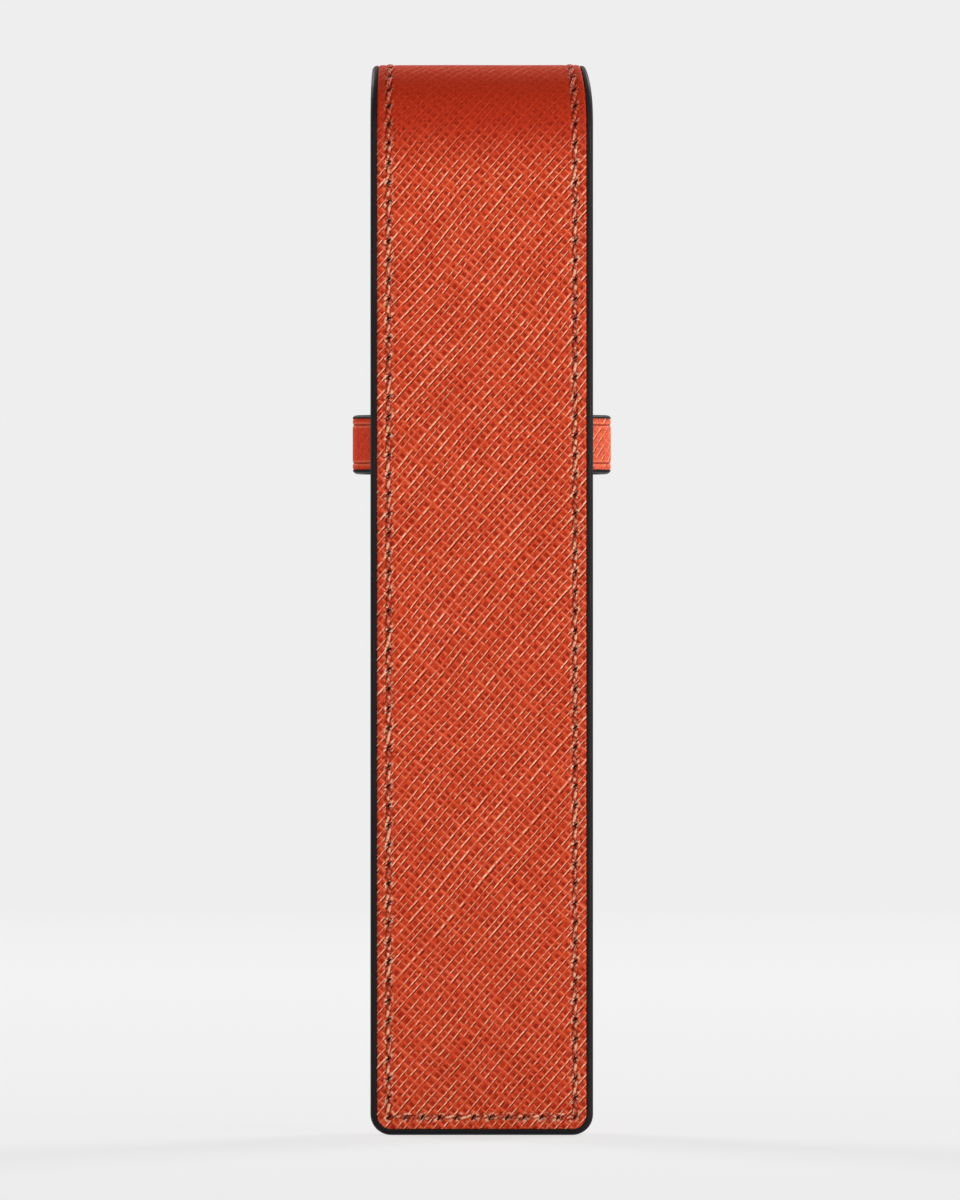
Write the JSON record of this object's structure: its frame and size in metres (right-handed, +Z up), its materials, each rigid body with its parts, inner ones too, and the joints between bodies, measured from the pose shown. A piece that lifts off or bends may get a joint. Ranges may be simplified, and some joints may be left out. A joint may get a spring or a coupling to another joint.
{
  "type": "single pen sleeve",
  "caption": "Slim leather sleeve for one pen: a flat back strip folds over the top as a flap and tucks behind a loop on a moulded pouch front.",
  "frame": {"origin": "middle of the sleeve's width and depth, at the lowest line of the painted foot", "axes": "+Z up the sleeve's length towards the fold, +Y from the plain back towards the flap and loop, +X across the sleeve, to the right as the back is seen"},
  "size_m": [0.0386, 0.0224, 0.16],
  "materials": {
    "saffiano_leather": "coral red leather pressed with a fine diagonal cross-hatch, satin",
    "edge_paint": "black flexible edge paint, rounded and satin",
    "smooth_lining": "smooth black lining leather, fine pores",
    "interlining_board": "bonded leather board, hidden between leather and lining",
    "thread": "twisted polyester thread in the leather's colour"
  },
  "bodies": {
    "sleeve": {"back_leather": "saffiano_leather", "back_interlining": "interlining_board", "back_lining": "smooth_lining", "back_edge_paint": "edge_paint", "back_thread": "thread", "front_leather": "saffiano_leather", "front_lining": "smooth_lining", "front_edge_paint": "edge_paint", "mouth_edge_paint": "edge_paint", "front_thread": "thread", "loop_leather": "saffiano_leather", "loop_lining": "smooth_lining", "loop_edge_paint": "edge_paint"},
    "fold_1": {"fold_leather_1": "saffiano_leather", "fold_interlining_1": "interlining_board", "fold_lining_1": "smooth_lining", "fold_edge_paint_1": "edge_paint", "fold_thread_1": "thread"},
    "fold_2": {"fold_leather_2": "saffiano_leather", "fold_interlining_2": "interlining_board", "fold_lining_2": "smooth_lining", "fold_edge_paint_2": "edge_paint", "fold_thread_2": "thread"},
    "fold_3": {"fold_leather_3": "saffiano_leather", "fold_interlining_3": "interlining_board", "fold_lining_3": "smooth_lining", "fold_edge_paint_3": "edge_paint", "fold_thread_3": "thread"},
    "fold_4": {"fold_leather_4": "saffiano_leather", "fold_interlining_4": "interlining_board", "fold_lining_4": "smooth_lining", "fold_edge_paint_4": "edge_paint", "fold_thread_4": "thread"},
    "fold_5": {"fold_leather_5": "saffiano_leather", "fold_interlining_5": "interlining_board", "fold_lining_5": "smooth_lining", "fold_edge_paint_5": "edge_paint", "fold_thread_5": "thread"},
    "flap": {"flap_leather": "saffiano_leather", "flap_interlining": "interlining_board", "flap_lining": "smooth_lining", "flap_edge_paint": "edge_paint", "flap_thread": "thread", "tongue_leather": "saffiano_leather", "tongue_interlining": "interlining_board", "tongue_lining": "smooth_lining", "tongue_edge_paint": "edge_paint", "tongue_thread": "thread"}
  },
  "joints": [
    {"name": "flap_open", "type": "hinge", "parent": "sleeve", "child": "fold_1", "pos_m": [0, -0.01086, 0.15259], "axis": [1, 0, 0], "range_deg": [0, 30], "stiffness_Nm_per_rad": 0.0025, "springref_deg": -54.43, "deforming": ["tongue_leather", "tongue_interlining", "tongue_lining", "tongue_edge_paint", "tongue_thread"]},
    {"name": "fold_1_unroll", "type": "hinge", "parent": "fold_1", "child": "fold_2", "pos_m": [0, -0.00827, 0.15707], "axis": [1, 0, 0], "range_deg": [0, 30], "stiffness_Nm_per_rad": 0.0025, "springref_deg": -54.43},
    {"name": "fold_2_unroll", "type": "hinge", "parent": "fold_2", "child": "fold_3", "pos_m": [0, -0.00379, 0.15966], "axis": [1, 0, 0], "range_deg": [0, 30], "stiffness_Nm_per_rad": 0.0025, "springref_deg": -54.43},
    {"name": "fold_3_unroll", "type": "hinge", "parent": "fold_3", "child": "fold_4", "pos_m": [0, 0.00139, 0.15966], "axis": [1, 0, 0], "range_deg": [0, 30], "stiffness_Nm_per_rad": 0.0025, "springref_deg": -54.43},
    {"name": "fold_4_unroll", "type": "hinge", "parent": "fold_4", "child": "fold_5", "pos_m": [0, 0.00587, 0.15707], "axis": [1, 0, 0], "range_deg": [0, 30], "stiffness_Nm_per_rad": 0.0025, "springref_deg": -54.43},
    {"name": "fold_5_unroll", "type": "hinge", "parent": "fold_5", "child": "flap", "pos_m": [0, 0.00846, 0.15259], "axis": [1, 0, 0], "range_deg": [0, 30], "stiffness_Nm_per_rad": 0.0025, "springref_deg": -54.43}
  ],
  "couplings": [
    {"joint": "fold_1_unroll", "follows": "flap_open", "ratio": 1},
    {"joint": "fold_2_unroll", "follows": "flap_open", "ratio": 1},
    {"joint": "fold_3_unroll", "follows": "flap_open", "ratio": 1},
    {"joint": "fold_4_unroll", "follows": "flap_open", "ratio": 1},
    {"joint": "fold_5_unroll", "follows": "flap_open", "ratio": 1}
  ]
}
